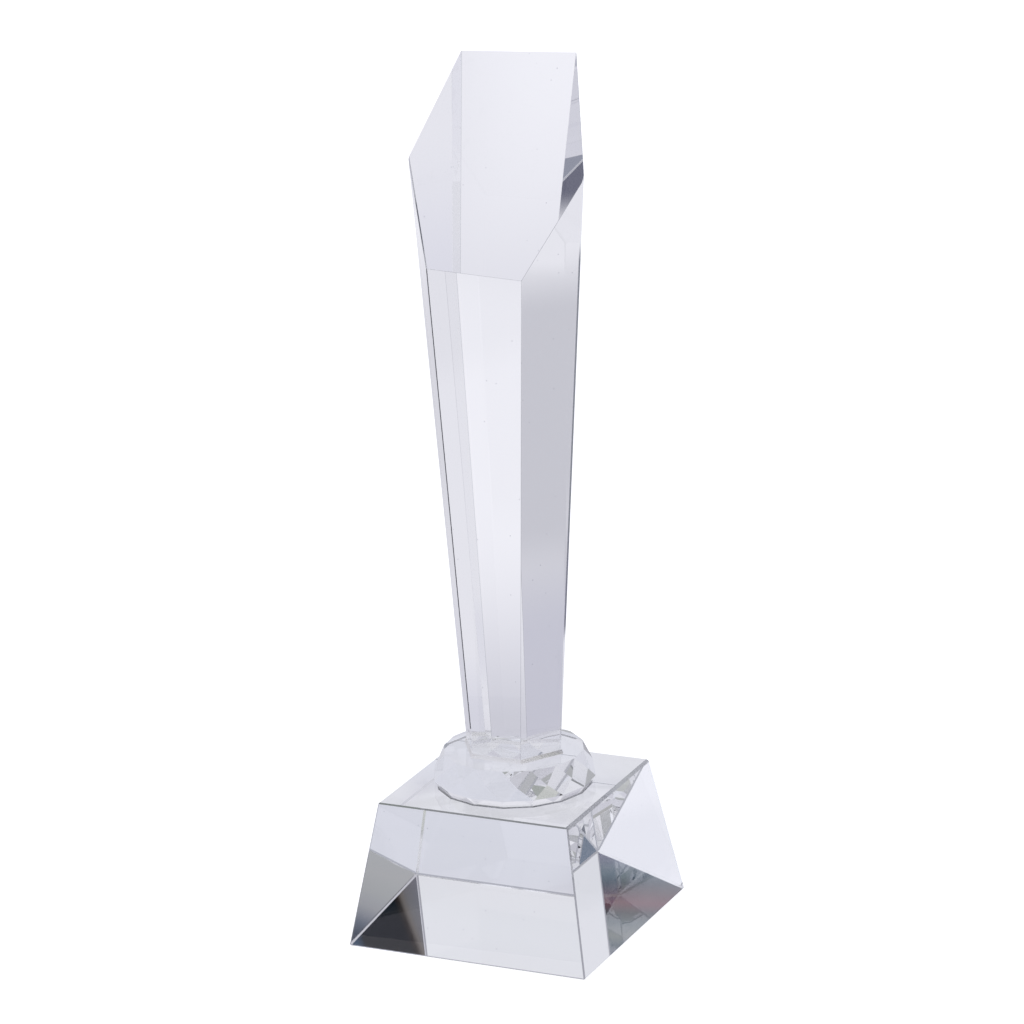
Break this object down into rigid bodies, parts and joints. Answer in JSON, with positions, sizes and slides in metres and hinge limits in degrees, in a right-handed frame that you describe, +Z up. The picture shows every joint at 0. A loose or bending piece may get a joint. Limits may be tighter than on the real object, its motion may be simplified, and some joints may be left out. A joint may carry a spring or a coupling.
{
  "type": "crystal award",
  "caption": "Slanted hexagonal crystal column bonded through a diamond-cut collar to a square sloping crystal base; free-standing award.",
  "frame": {"origin": "middle of the base block's underside, on the table", "axes": "+Z up along the column; the front, which the slanted top faces, is -Y; +X is the viewer's right from the front"},
  "size_m": [0.0698, 0.0698, 0.2401],
  "materials": {
    "base_crystal": "polished clear optical crystal",
    "base_resin": "cured clear adhesive, faintly yellow",
    "collar_crystal": "polished clear optical crystal, diamond cut",
    "column_resin": "cured clear adhesive, faintly yellow",
    "column_crystal": "polished clear optical crystal"
  },
  "bodies": {
    "root": {"base_block": "base_crystal", "base_adhesive": "base_resin", "faceted_collar": "collar_crystal", "column_adhesive": "column_resin", "column": "column_crystal"}
  },
  "joints": []
}
